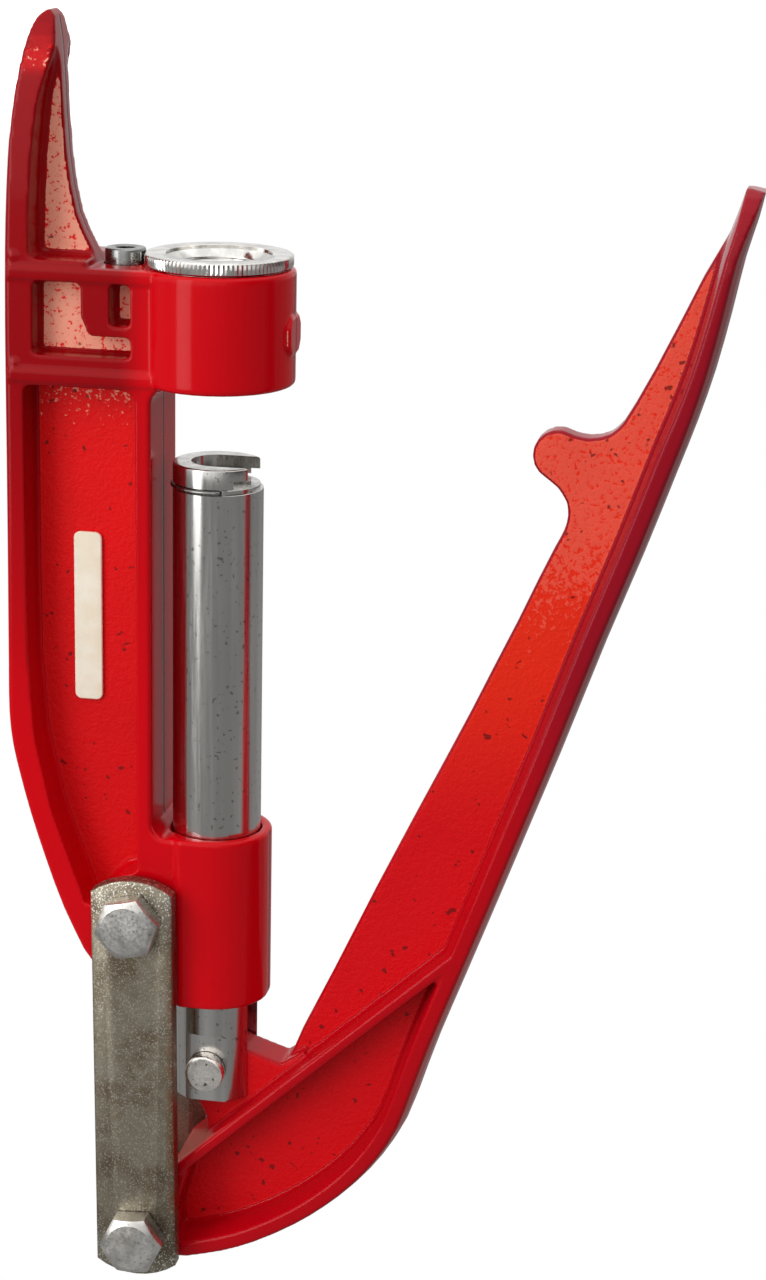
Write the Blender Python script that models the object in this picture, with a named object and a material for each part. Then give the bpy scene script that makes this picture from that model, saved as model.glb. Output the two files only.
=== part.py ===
"""Hand-held lever press: cast frame, cast lever, sliding ram, side links, breech bushing.

Sizes are millimetres in press coordinates: the ram's axis is X = 0, Y = 0, the upper link
pivot is at Z = 0, the lever is on the +X side and the near link is on the -Y side.
Every solid is moved so that the row origin is the grip point on the frame's spine.
"""

import math

import bmesh
import bpy
from mathutils import Vector

for old in list(bpy.data.objects):
    bpy.data.objects.remove(old, do_unlink=True)

MM = 0.001
GAP = 0.3  # running clearance between neighbouring pieces

# castings
CAST_Y = 12.7  # half depth of frame and lever flanges
WEB_Y = 3.2  # half thickness of their webs
UPPER_WEB_Y = 6.4  # half thickness of the web between the two cross ribs
RIB_RAISE = 0.6  # how far the frame's cross ribs stand off its flanges
FLOOR_R = 1.0  # fillet round the floor of each pocket
POCKET_DRAFT = 0.3
EDGE_R = 1.0  # rounding of cast edges

# ram
RAM_R = 11.1
RAM_TOP = 114.7
RAM_BOTTOM = -51.0
RAM_CHAMFER = 0.6
PRIME_R = 3.6  # bore down the ram's middle
PRIME_DEPTH = 60.0
HOLDER_NECK = 6.6  # half width of the shell-holder slot's mouth
HOLDER_WIDE = 9.3  # half width of its undercut
HOLDER_DEPTH = 5.3
HOLDER_LIP = 2.9
CLIP_Z = RAM_TOP - 5.6  # wire clip's groove
CLIP_WIRE = 0.55
TONGUE_Y = 5.25  # half thickness of the lever's tongue
FORK_SLOT = TONGUE_Y + GAP  # half width of the slot in the ram's foot
FORK_TOP = 18.8  # slot top above the ram pin
PIN_FLAT = RAM_R - 1.4  # half distance between the flats round the pin
PIN_FLAT_TOP = 9.8  # flats' top above the ram pin

# linkage: A is the upper link pivot, B the lower, C the ram pin
BOLT_R = 4.76
BORE_WALL = 0.74  # metal between the upper pivot's bore and the ram's
A_X, A_Z = -(RAM_R + BOLT_R + 2 * GAP + BORE_WALL), 0.0
C_X, C_Z = 0.0, -42.3
LINK_LENGTH = 86.9
LINK_TILT = math.radians(0.53)
B_X = A_X + LINK_LENGTH * math.sin(LINK_TILT)
B_Z = A_Z - LINK_LENGTH * math.cos(LINK_TILT)

# frame
BOSS_Y = RAM_R + GAP + 2.6  # ram guide: half depth, and radius round the ram
BOSS_TOP = 20.7
BOSS_BOTTOM = -24.2
FACE_X = -(RAM_R + 2.7)  # spine flange that faces the ram
DIE_TOP = 162.0
DIE_BOTTOM = 134.0
DIE_FILLET = 4.5  # between that flange and the die seat's underside
RIB_T = 3.2
PAD_Z = 146.6
PAD_HALF_Z = 4.6
PAD_HALF_Y = 6.0

# links and their bolts
LINK_HALF = 10.4
LINK_ARC = 17.2  # radius of a link's ends
LINK_OVER = 10.9  # link end beyond its hole
LINK_T = 4.6
WASHER_T = 1.1
LINK_IN = max(BOSS_Y + 0.4, CAST_Y + WASHER_T + 2 * GAP)  # links' inner faces from the middle plane
HEAD_AF = 14.3
HEAD_H = 6.1
NUT_H = 8.3
SLEEVE_T = 1.3
WASHER_R = BOLT_R + 3.64

PIN_R = 3.6
PIN_HEAD_R = PIN_R + 1.3
PIN_HEAD_H = 3.2
BUSH_T = 1.0

# bushing and its lock pin
THREAD_R = 11.1  # 7/8 in die thread
MOUTH_R = THREAD_R + 1.6
BUSHING_R = THREAD_R + 4.3
BUSHING_RIM_R = BUSHING_R + 2.4
BUSHING_RIM_T = 3.0
DIE_R = BUSHING_R + 3.1
PAD_X = DIE_R + 0.4
LOCK_HEAD_R = 4.9
LOCK_X = -(BUSHING_RIM_R + GAP + LOCK_HEAD_R)
LOCK_SHANK_R = 2.2
LOCK_STAND = 3.6  # head above the frame's top
LOCK_HEAD_H = 7.0
LOCK_SHANK_H = 7.6
LOCK_TRAVEL = 3.0
LOCK_BOSS_BOTTOM = DIE_TOP - 16.0
SPRING_H = 4.4
SPRING_WIRE = 0.45

# lever
RIM_T = 4.2  # thickness of the lever's outer flange
CROWN = 1.5  # how far the middle of that flange stands out
EYE_R = PIN_R + 2 * GAP + BUSH_T + 2.0
LUG_R = BOLT_R + 2 * GAP + SLEEVE_T + 2.34
LEVER_RIB_T = 3.0
HORN_X, HORN_Z, HORN_R = 83.2, 121.6, 6.2
TIP_Z, TIP_ROUND = 166.0, 20.8  # where the tip starts to round off, and how far up it goes

# plain badge on the frame's web
BADGE_W, BADGE_H, BADGE_T = 7.1, 43.0, 0.8
BADGE_X, BADGE_Z = -31.9, 74.2

# the row origin in press coordinates: the grip point on the spine's outer face
ORIGIN = Vector((-50.2, 0.0, 80.0))

ARC = 8  # steps in a quarter of a small fillet


# ---------------------------------------------------------------- outlines
def area(points):
    total = 0.0
    for (x0, z0), (x1, z1) in zip(points, points[1:] + points[:1]):
        total += x0 * z1 - x1 * z0
    return total / 2


def counterclockwise(points):
    return points if area(points) > 0 else points[::-1]


def rounded(corners, steps=ARC):
    """Replace each corner (x, z, radius) by an arc, no larger than its two edges allow."""
    out = []
    for i, (x, z, r) in enumerate(corners):
        here = Vector((x, z))
        back = Vector(corners[i - 1][:2]) - here
        ahead = Vector(corners[(i + 1) % len(corners)][:2]) - here
        turn = back.angle(ahead)
        if r <= 0 or turn > 3.12:
            out.append((x, z))
            continue
        reach = min(r / math.tan(turn / 2), 0.48 * back.length, 0.48 * ahead.length)
        r = reach * math.tan(turn / 2)
        start, end = here + back.normalized() * reach, here + ahead.normalized() * reach
        bisector = (back.normalized() + ahead.normalized()).normalized()
        middle = here + bisector * (r / math.sin(turn / 2))
        a0 = math.atan2(start.y - middle.y, start.x - middle.x)
        sweep = math.atan2(end.y - middle.y, end.x - middle.x) - a0
        sweep = (sweep + math.pi) % (2 * math.pi) - math.pi
        n = max(2, round(steps * abs(sweep) / (math.pi / 2)))
        for k in range(n + 1):
            a = a0 + sweep * k / n
            out.append((middle.x + r * math.cos(a), middle.y + r * math.sin(a)))
    return out


def curve(points, per=4):
    """A smooth open curve through the points (centripetal Catmull-Rom)."""
    p = [Vector(q) for q in points]
    p = [2 * p[0] - p[1], *p, 2 * p[-1] - p[-2]]
    out = []
    for i in range(1, len(p) - 2):
        a, b, c, d = p[i - 1 : i + 3]
        t1 = max((b - a).length, 1e-6) ** 0.5
        t2 = t1 + max((c - b).length, 1e-6) ** 0.5
        t3 = t2 + max((d - c).length, 1e-6) ** 0.5
        for k in range(per):
            t = t1 + (t2 - t1) * k / per
            a1 = a * ((t1 - t) / t1) + b * (t / t1)
            a2 = b * ((t2 - t) / (t2 - t1)) + c * ((t - t1) / (t2 - t1))
            a3 = c * ((t3 - t) / (t3 - t2)) + d * ((t - t2) / (t3 - t2))
            b1 = a1 * ((t2 - t) / t2) + a2 * (t / t2)
            b2 = a2 * ((t3 - t) / (t3 - t1)) + a3 * ((t - t1) / (t3 - t1))
            q = b1 * ((t2 - t) / (t2 - t1)) + b2 * ((t - t1) / (t2 - t1))
            out.append((q.x, q.y))
    out.append((p[-2].x, p[-2].y))
    return out


def circle(x, z, r, n=48, start=0.0):
    turns = [start + math.tau * k / n for k in range(n)]
    return [(x + r * math.cos(a), z + r * math.sin(a)) for a in turns]


def inset(points, d):
    """The closed outline moved inwards by d, corner for corner."""
    out, n = [], len(points)
    for i in range(n):
        a, b, c = (Vector(points[j % n]) for j in (i - 1, i, i + 1))
        u, v = (b - a).normalized(), (c - b).normalized()
        nu, nv = Vector((-u.y, u.x)), Vector((-v.y, v.x))
        q = b + (nu + nv) * (d / max(1 + nu.dot(nv), 0.4))
        out.append((q.x, q.y))
    return out


def beside(path, d):
    """An open path moved to its left by d."""
    out = []
    for i, p in enumerate(path):
        a, b = Vector(path[max(i - 1, 0)]), Vector(path[min(i + 1, len(path) - 1)])
        t = (b - a).normalized()
        out.append((p[0] - t.y * d, p[1] + t.x * d))
    return out


# ---------------------------------------------------------------- solids
def closed(name, rings, swap):
    """A closed body through rings of equal length, capped at both ends."""
    bm = bmesh.new()
    rows = [[bm.verts.new((Vector(swap(p, level)) - ORIGIN) * MM) for p in ring] for level, ring in rings]
    n = len(rows[0])
    for low, high in zip(rows, rows[1:]):
        for i in range(n):
            j = (i + 1) % n
            bm.faces.new((low[i], low[j], high[j], high[i]))
    bm.faces.new(rows[0])
    bm.faces.new(rows[-1])
    bmesh.ops.recalc_face_normals(bm, faces=bm.faces)
    if bm.calc_volume(signed=True) < 0:
        bmesh.ops.reverse_faces(bm, faces=bm.faces)
    mesh = bpy.data.meshes.new(name)
    bm.to_mesh(mesh)
    bm.free()
    obj = bpy.data.objects.new(name, mesh)
    bpy.context.scene.collection.objects.link(obj)
    return obj


def along_y(name, outline, levels):
    """levels: (y, inset) from one end to the other, of an outline in X and Z."""
    outline = counterclockwise(outline)
    return closed(name, [(y, inset(outline, d)) for y, d in levels], lambda p, y: (p[0], y, p[1]))


def along_z(name, outline, levels):
    outline = counterclockwise(outline)
    return closed(name, [(z, inset(outline, d)) for z, d in levels], lambda p, z: (p[0], p[1], z))


def along_x(name, outline, levels):
    outline = counterclockwise(outline)
    return closed(name, [(x, inset(outline, d)) for x, d in levels], lambda p, x: (x, p[0], p[1]))


def soft(low, high, r=EDGE_R, steps=2):
    """Levels of a slab from low to high whose edges are rounded by r."""
    quarter = [math.pi / 2 * k / steps for k in range(steps + 1)]
    turn = [(r * (1 - math.cos(a)), r * (1 - math.sin(a))) for a in quarter]
    return [(low + up, d) for up, d in turn] + [(high - up, d) for up, d in turn[::-1]]


def turned(name, profile, x, y, n=48, along="z"):
    """A solid of revolution from (radius, height) pairs, from axis to axis or closed on themselves."""
    bm = bmesh.new()
    rows = []
    for r, h in profile:
        ring = []
        for k in range(n if r > 0 else 1):
            a = math.tau * k / n
            across = r * math.cos(a)
            up = y + r * math.sin(a)
            p = (x + across, up, h) if along == "z" else (x + across, h, up)
            ring.append((Vector(p) - ORIGIN) * MM)
        rows.append(ring)
    # a flat end is one face, not a fan round a middle point
    flat_low = profile[0][0] == 0 and profile[0][1] == profile[1][1]
    flat_high = profile[-1][0] == 0 and profile[-1][1] == profile[-2][1]
    rows = rows[1:] if flat_low else rows
    rows = rows[:-1] if flat_high else rows
    rows = [[bm.verts.new(q) for q in ring] for ring in rows]
    for flat, ring in ((flat_low, rows[0]), (flat_high, rows[-1])):
        if flat:
            bm.faces.new(ring)
    tube = profile[0][0] > 0
    pairs = list(zip(rows, rows[1:] + rows[:1])) if tube else list(zip(rows, rows[1:]))
    for low, high in pairs:
        for k in range(n):
            j = (k + 1) % n
            if len(low) == 1:
                bm.faces.new((low[0], high[j], high[k]))
            elif len(high) == 1:
                bm.faces.new((low[k], low[j], high[0]))
            else:
                bm.faces.new((low[k], low[j], high[j], high[k]))
    bmesh.ops.recalc_face_normals(bm, faces=bm.faces)
    if bm.calc_volume(signed=True) < 0:
        bmesh.ops.reverse_faces(bm, faces=bm.faces)
    mesh = bpy.data.meshes.new(name)
    bm.to_mesh(mesh)
    bm.free()
    obj = bpy.data.objects.new(name, mesh)
    bpy.context.scene.collection.objects.link(obj)
    return obj


def sleeve(name, x, z, r_in, r_out, y0, y1, n=28, c=0.25):
    """A ring or tube along Y with small chamfers outside."""
    return turned(
        name,
        [(r_in, y0), (r_out - c, y0), (r_out, y0 + c), (r_out, y1 - c), (r_out - c, y1), (r_in, y1)],
        x, z, n, along="y",
    )


def swept(name, path, r, sides=8):
    """A round wire along an open path of points."""
    bm = bmesh.new()
    rows = []
    side = None
    for i, p in enumerate(path):
        t = (Vector(path[min(i + 1, len(path) - 1)]) - Vector(path[max(i - 1, 0)])).normalized()
        if side is None:
            side = t.cross(Vector((0.1, 0.2, 1.0))).normalized()
        side = (side - t * side.dot(t)).normalized()
        up = t.cross(side)
        rows.append([
            bm.verts.new((Vector(p) + (side * math.cos(a) + up * math.sin(a)) * r - ORIGIN) * MM)
            for a in (math.tau * k / sides for k in range(sides))
        ])
    for low, high in zip(rows, rows[1:]):
        for k in range(sides):
            j = (k + 1) % sides
            bm.faces.new((low[k], low[j], high[j], high[k]))
    bm.faces.new(rows[0])
    bm.faces.new(rows[-1])
    bmesh.ops.recalc_face_normals(bm, faces=bm.faces)
    if bm.calc_volume(signed=True) < 0:
        bmesh.ops.reverse_faces(bm, faces=bm.faces)
    mesh = bpy.data.meshes.new(name)
    bm.to_mesh(mesh)
    bm.free()
    obj = bpy.data.objects.new(name, mesh)
    bpy.context.scene.collection.objects.link(obj)
    return obj


def combine(target, helper, operation):
    m = target.modifiers.new(helper.name, "BOOLEAN")
    m.operation = operation
    m.solver = "EXACT"
    m.object = helper
    helper.hide_render = True
    helper.display_type = "WIRE"


def add(target, helper):
    combine(target, helper, "UNION")


def cut(target, helper):
    combine(target, helper, "DIFFERENCE")


def rod_y(name, x, z, r, y0, y1, n=28):
    return turned(name, [(0, y0), (r, y0), (r, y1), (0, y1)], x, z, n, along="y")


def rod_z(name, x, y, r, z0, z1, n=32):
    return turned(name, [(0, z0), (r, z0), (r, z1), (0, z1)], x, y, n)


def pocket(target, name, mouth, floor_y, r=FLOOR_R, draft=POCKET_DRAFT):
    """Cut the same filleted pocket from both faces, down to floor_y from the middle plane."""
    mouth_y = CAST_Y + 2
    for side, sign in (("near", -1), ("far", 1)):
        levels = [(sign * mouth_y, 0.0), (sign * (floor_y + r), draft)]
        for k in range(1, 3):
            a = math.pi / 2 * k / 2
            levels.append((sign * (floor_y + r * (1 - math.sin(a))), draft + r * (1 - math.cos(a))))
        cut(target, along_y(f"{name}_{side}", mouth, levels))


def hexagon(x, z, across, turn=0.0):
    return circle(x, z, across / math.sqrt(3), 6, turn)


# ---------------------------------------------------------------- frame casting
spine = curve([
    (-40.4, 221.0), (-42.9, 219.2), (-44.6, 215.4), (-46.0, 208.6), (-47.1, 199.4), (-48.3, 186.6),
    (-49.1, 172.5), (-49.5, 158.0), (-49.7, 140.0), (-49.8, 115.0), (-50.0, 85.0), (-50.2, 62.0),
    (-50.2, 50.0), (-49.4, 42.0), (-47.7, 34.2), (-45.1, 24.2), (-41.4, 12.4), (-36.8, -0.4), (-31.6, -11.4),
], 2)
foot = [(-27.0, -17.6), (-22.0, -21.8), (-15.0, BOSS_BOTTOM + 0.4), (-6.0, BOSS_BOTTOM + 0.4)]
face = rounded([(-6.0, BOSS_TOP - 0.4, 0), (FACE_X, BOSS_TOP - 0.4, 6.5), (FACE_X, 70.0, 0)])[1:]
face = [(-6.0, BOSS_TOP - 0.4), *face]
crest = rounded([(FACE_X, 110.0, 0), (FACE_X, DIE_BOTTOM, DIE_FILLET), (FACE_X + 9.0, DIE_BOTTOM, 0)])[1:-1]
crest += [(FACE_X + DIE_FILLET + 1.0, DIE_TOP), (-28.7, DIE_TOP)]
horn = curve([(-28.7, DIE_TOP), (-30.6, 165.5), (-34.2, 173.3), (-36.6, 187.5), (-37.6, 206.0),
              (-38.1, 214.0), (-38.9, 219.4)], 2)[1:]
frame = along_y("frame_casting", spine + foot + face + crest + horn, soft(-CAST_Y, CAST_Y, EDGE_R))

bend = [math.radians(-90 + 9 * k) for k in range(21)]
guide = rounded([
    (-9.5, -BOSS_Y + 3.0, 0.0), (-6.5, -BOSS_Y, 2.0),
    *((min(BOSS_Y * math.cos(a), BOSS_Y - 0.3), BOSS_Y * math.sin(a), 0.0) for a in bend),
    (-6.5, BOSS_Y, 2.0), (-9.5, BOSS_Y - 3.0, 0.0)])
add(frame, along_z("guide_body", guide, soft(BOSS_BOTTOM, BOSS_TOP, 0.8)))
add(frame, turned("die_body", [
    (0, DIE_BOTTOM), (DIE_R - 0.9, DIE_BOTTOM), (DIE_R - 0.3, DIE_BOTTOM + 0.3), (DIE_R, DIE_BOTTOM + 0.9),
    (DIE_R, DIE_TOP - 0.9), (DIE_R - 0.3, DIE_TOP - 0.3), (DIE_R - 0.9, DIE_TOP), (0, DIE_TOP)], 0, 0, 60))
for label, top in (("rib_upper", DIE_TOP - 0.2), ("rib_lower", DIE_BOTTOM + RIB_T)):
    bar = [(-48.9, top - RIB_T, 0.6), (-11.0, top - RIB_T, 0.6), (-11.0, top, 0.6), (-48.9, top, 0.6)]
    bar = rounded(bar, 2)
    add(frame, along_y(label, bar, soft(-CAST_Y - RIB_RAISE, CAST_Y + RIB_RAISE, 0.5, 2)))

# stop pad that the lever's horn lands on
pad = rounded([(-PAD_HALF_Y, PAD_Z - 2.2, 0.9), (-PAD_HALF_Y + 2.2, PAD_Z - PAD_HALF_Z, 0.9),
               (PAD_HALF_Y - 2.2, PAD_Z - PAD_HALF_Z, 0.9), (PAD_HALF_Y, PAD_Z - 2.2, 0.9),
               (PAD_HALF_Y, PAD_Z + 2.2, 0.9), (PAD_HALF_Y - 2.2, PAD_Z + PAD_HALF_Z, 0.9),
               (-PAD_HALF_Y + 2.2, PAD_Z + PAD_HALF_Z, 0.9), (-PAD_HALF_Y, PAD_Z + 2.2, 0.9)], 3)
add(frame, along_x("stop_pad", pad, [(BUSHING_R + 0.9, 0.0), (PAD_X - 0.4, 0.0), (PAD_X, 0.4)]))

# pockets that leave the webs
RIB_LOW = DIE_TOP - 0.2 - RIB_T
seat = BOLT_R + GAP + 4.9  # metal left round the upper pivot's bore
pocket(frame, "main_pocket", rounded([
    (-17.4, 133.3, 4.0), (-45.2, 133.3, 2.0), (-45.3, 84.0, 0), (-45.1, 64.0, 30.0), (-43.6, 44.0, 30.0),
    (-39.4, 25.0, 30.0), (-32.4, 5.5, 12.0), (-30.9, 1.0, 1.8), (A_X - seat, 1.0, 1.8),
    (A_X - 0.87 * seat, 0.5 * seat, 3.0), (A_X - 0.45 * seat, 0.95 * seat, 3.0),
    (-17.4, 1.08 * seat, 2.0)]), WEB_Y)
corner_r = POCKET_DRAFT + FLOOR_R + 0.3  # no less than the floor's fillet needs
upper_low, boss_low = DIE_BOTTOM + RIB_T + 3.4, LOCK_BOSS_BOTTOM
pocket(frame, "upper_pocket", rounded([
    (-18.4, upper_low, corner_r), (-18.4, boss_low, corner_r), (-28.6, boss_low, corner_r),
    (-30.6, boss_low + 4.5, 2.0), (-30.6, RIB_LOW - 0.1, corner_r), (-42.6, RIB_LOW - 0.1, corner_r),
    (-42.8, upper_low, corner_r)]), UPPER_WEB_Y)
pocket(frame, "boss_window", rounded([
    (-18.4, boss_low + 2.3, corner_r), (-18.4, RIB_LOW - 0.1, corner_r), (-23.8, RIB_LOW - 0.1, corner_r),
    (-23.8, boss_low + 2.3, corner_r)]), UPPER_WEB_Y)
pocket(frame, "horn_pocket", rounded([
    (-20.0, 163.4, 0), (-20.0, 219.0, 0), (-37.0, 219.0, 0), (-38.6, 210.4, 0), (-41.2, 201.0, 30.0),
    (-42.6, 187.0, 30.0), (-43.3, 174.0, 20.0), (-43.6, 163.4, 2.5)]), WEB_Y, 1.6, 0.2)
# the horn grows thinner towards its tip
for sign in (-1, 1):
    taper = curve([(CAST_Y + 0.1, 174.0), (CAST_Y - 0.5, 190.0), (10.9, 200.0), (8.4, 208.6), (6.0, 215.0),
                   (3.4, 220.6), (1.6, 223.4)], 2)
    wedge = [(sign * y, z) for y, z in taper] + [(sign * (CAST_Y + 4), 223.4), (sign * (CAST_Y + 4), 174.0)]
    cut(frame, along_x(f"horn_taper_{'near' if sign < 0 else 'far'}", wedge, [(-56.0, 0), (-20.0, 0)]))

# ram guide, die seat, pivot bore, lock-pin bore
cut(frame, rod_z("guide_bore", 0, 0, RAM_R + GAP, BOSS_BOTTOM - 2, BOSS_TOP + 2, 48))
cut(frame, rod_z("seat_bore", 0, 0, BUSHING_R + GAP, DIE_BOTTOM - 2, DIE_TOP + 2, 60))
cut(frame, rod_y("pivot_bore", A_X, A_Z, BOLT_R + GAP, -CAST_Y - 3, CAST_Y + 3))
lock_floor = DIE_TOP + LOCK_STAND - LOCK_HEAD_H - SPRING_H - GAP
cut(frame, rod_z("lock_counterbore", LOCK_X, 0, LOCK_HEAD_R + GAP, lock_floor, DIE_TOP + 4, 32))
lock_end = DIE_TOP + LOCK_STAND - LOCK_HEAD_H - LOCK_SHANK_H - LOCK_TRAVEL - GAP
cut(frame, rod_z("lock_bore", LOCK_X, 0, LOCK_SHANK_R + GAP, lock_end, lock_floor + 1, 20))

badge = rounded([(BADGE_X + i * BADGE_W / 2, BADGE_Z + j * BADGE_H / 2, 1.6)
                 for i, j in ((-1, -1), (1, -1), (1, 1), (-1, 1))], 4)
badge_y = -WEB_Y - GAP - BADGE_T
along_y("web_badge", badge, [(badge_y, 0.25), (badge_y + 0.25, 0), (-WEB_Y - GAP, 0)])

# ---------------------------------------------------------------- bushing and lock pin
rim_low = DIE_TOP + GAP
rim_high = rim_low + BUSHING_RIM_T
turned("breech_bushing", [
    (THREAD_R, DIE_BOTTOM + 0.6), (BUSHING_R - 0.5, DIE_BOTTOM + 0.6), (BUSHING_R, DIE_BOTTOM + 1.1),
    (BUSHING_R, rim_low), (BUSHING_RIM_R - 0.4, rim_low), (BUSHING_RIM_R, rim_low + 0.4),
    (BUSHING_RIM_R, rim_high - 0.4), (BUSHING_RIM_R - 0.4, rim_high), (MOUTH_R, rim_high),
    (MOUTH_R, rim_high - 1.0), (THREAD_R, rim_high - 1.0 - (MOUTH_R - THREAD_R))], 0, 0, 60)

head_top = DIE_TOP + LOCK_STAND
head_low = head_top - LOCK_HEAD_H
turned("lock_pin", [
    (0, head_low - LOCK_SHANK_H), (LOCK_SHANK_R - 0.4, head_low - LOCK_SHANK_H),
    (LOCK_SHANK_R, head_low - LOCK_SHANK_H + 0.4), (LOCK_SHANK_R, head_low), (LOCK_HEAD_R, head_low),
    (LOCK_HEAD_R, head_top - 0.5), (LOCK_HEAD_R - 0.5, head_top), (2.35, head_top), (2.35, head_top - 3.2),
    (0, head_top - 3.9)], LOCK_X, 0, 28)
turns, coil_r = 3.0, (LOCK_SHANK_R + LOCK_HEAD_R + 2 * GAP) / 2
low, high = lock_floor + SPRING_WIRE + 0.15, head_low - SPRING_WIRE - 0.15
helix = []
for k in range(37):
    share = k / 36
    a = math.tau * turns * share
    helix.append((LOCK_X + coil_r * math.cos(a), coil_r * math.sin(a), low + (high - low) * share))
swept("lock_pin_spring", helix, SPRING_WIRE, 6)

# ---------------------------------------------------------------- ram
ram = turned("ram", [
    (0, RAM_BOTTOM), (RAM_R - RAM_CHAMFER, RAM_BOTTOM), (RAM_R, RAM_BOTTOM + RAM_CHAMFER),
    (RAM_R, CLIP_Z - CLIP_WIRE - 0.15), (RAM_R - 0.7, CLIP_Z - CLIP_WIRE - 0.15),
    (RAM_R - 0.7, CLIP_Z + CLIP_WIRE + 0.15), (RAM_R, CLIP_Z + CLIP_WIRE + 0.15),
    (RAM_R, RAM_TOP - RAM_CHAMFER), (RAM_R - RAM_CHAMFER, RAM_TOP), (0, RAM_TOP)], 0, 0, 52)


def mouth(half, reach=14.0):
    arc = [math.radians(90 + 11.25 * k) for k in range(17)]
    return [(half * math.cos(a), half * math.sin(a)) for a in arc] + [(reach, -half), (reach, half)]


cut(ram, along_z("holder_neck", mouth(HOLDER_NECK), [(RAM_TOP - HOLDER_DEPTH, 0), (RAM_TOP + 2, 0)]))
cut(ram, along_z("holder_undercut", mouth(HOLDER_WIDE, 14.5),
                 [(RAM_TOP - HOLDER_DEPTH - 0.02, 0), (RAM_TOP - HOLDER_LIP, 0)]))
holder_floor = RAM_TOP - HOLDER_DEPTH
cut(ram, rod_z("prime_bore", 0, 0, PRIME_R, holder_floor - PRIME_DEPTH, holder_floor + 1, 28))
slot = rounded([(-FORK_SLOT, RAM_BOTTOM - 3, 0), (FORK_SLOT, RAM_BOTTOM - 3, 0),
                (FORK_SLOT, C_Z + FORK_TOP, 1.5), (-FORK_SLOT, C_Z + FORK_TOP, 1.5)], 3)
cut(ram, along_x("fork_slot", slot, [(-14.0, 0), (14.0, 0)]))
for sign in (-1, 1):
    flat = [(sign * PIN_FLAT, RAM_BOTTOM - 3), (sign * (RAM_R + 3), RAM_BOTTOM - 3),
            (sign * (RAM_R + 3), C_Z + PIN_FLAT_TOP), (sign * PIN_FLAT, C_Z + PIN_FLAT_TOP)]
    cut(ram, along_x(f"pin_flat_{'near' if sign < 0 else 'far'}", flat, [(-14.0, 0), (14.0, 0)]))
cut(ram, rod_y("pin_bore", C_X, C_Z, PIN_R + GAP, -RAM_R - 2, RAM_R + 2))
clip_r = RAM_R - 0.7 + GAP + CLIP_WIRE - 0.1
clip_hole = math.radians(-74)
hole_x, hole_y = math.cos(clip_hole), math.sin(clip_hole)
cut(ram, swept("clip_hole", [(hole_x * (RAM_R - 2.4), hole_y * (RAM_R - 2.4), CLIP_Z),
                             (hole_x * (RAM_R + 1), hole_y * (RAM_R + 1), CLIP_Z)], CLIP_WIRE + 0.25, 12))
wire = [(hole_x * (RAM_R - d), hole_y * (RAM_R - d), CLIP_Z) for d in (1.9, 1.0)]
for k in range(27):
    a = math.radians(-77 - 8 * k)
    wire.append((clip_r * math.cos(a), clip_r * math.sin(a), CLIP_Z))
swept("shell_holder_clip", wire, CLIP_WIRE, 6)

pin = turned("ram_pin", [
    (0, -PIN_FLAT - GAP - PIN_HEAD_H), (PIN_HEAD_R - 0.5, -PIN_FLAT - GAP - PIN_HEAD_H),
    (PIN_HEAD_R, -PIN_FLAT - GAP - PIN_HEAD_H + 0.5), (PIN_HEAD_R, -PIN_FLAT - GAP),
    (PIN_R, -PIN_FLAT - GAP),
    (PIN_R, PIN_FLAT + 2.4), (PIN_R - 0.5, PIN_FLAT + 2.9), (0, PIN_FLAT + 2.9)], C_X, C_Z, 28, along="y")
sleeve("ram_pin_clip", C_X, C_Z, PIN_R + GAP, PIN_R + 2.4, PIN_FLAT + GAP, PIN_FLAT + GAP + 1.0, 28, 0.15)

# ---------------------------------------------------------------- lever casting
outer = curve([
    (126.4, 184.6), (125.3, 179.4), (122.9, 170.6), (120.4, 157.6), (117.4, 143.9), (114.0, 132.0),
    (110.2, 120.6), (103.3, 100.2), (95.3, 78.0), (85.6, 49.4), (78.1, 28.2), (71.4, 9.3),
    (63.6, -12.4), (57.6, -29.0), (53.9, -40.4), (49.9, -52.6), (44.9, -61.6), (38.6, -69.6),
    (31.5, -76.4), (23.7, -82.4), (13.2, -88.6), (4.7, -92.2), (-4.6, -94.8)], 2)


def arc(x, z, r, first, step, count):
    """Points of a circle round (x, z), with angles in degrees."""
    turns = [math.radians(first + step * k) for k in range(count)]
    return [(x + r * math.cos(a), z + r * math.sin(a)) for a in turns]


lug_bottom = arc(B_X, B_Z, LUG_R, -72, -12, 4)
path = outer + lug_bottom
inner_rim = beside(path, -RIM_T)
# the flange tapers to nothing at the tip
tip = len(path)
for i in range(min(11, tip)):
    share = 0.38 + 0.62 * i / 11
    inner_rim[i] = tuple(Vector(path[i]).lerp(Vector(inner_rim[i]), share))
rim_levels = [(-CAST_Y, 0.6), (-CAST_Y + 0.6, 0.0)]
rim_levels += [(CAST_Y * t, -CROWN * (1 - abs(t) ** 2.2)) for t in (-0.6, -0.25, 0.25, 0.6)]
rim_levels += [(CAST_Y - 0.6, 0.0), (CAST_Y, 0.6)]
lever = along_y("lever_casting", path + inner_rim[::-1], rim_levels)

rib_a, rib_b = Vector((12.1, -50.4)), Vector((68.8, 2.2))
rib_dir = (rib_b - rib_a).normalized()
rib_norm = Vector((rib_dir.y, -rib_dir.x))  # towards the lever's outer side


def on_rib(x, drop=0.0):
    """A point of the rib's top line at x, moved by drop towards the outer side."""
    q = rib_a + rib_dir * ((x - rib_a.x) / rib_dir.x) + rib_norm * drop
    return (q.x, q.y)


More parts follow.
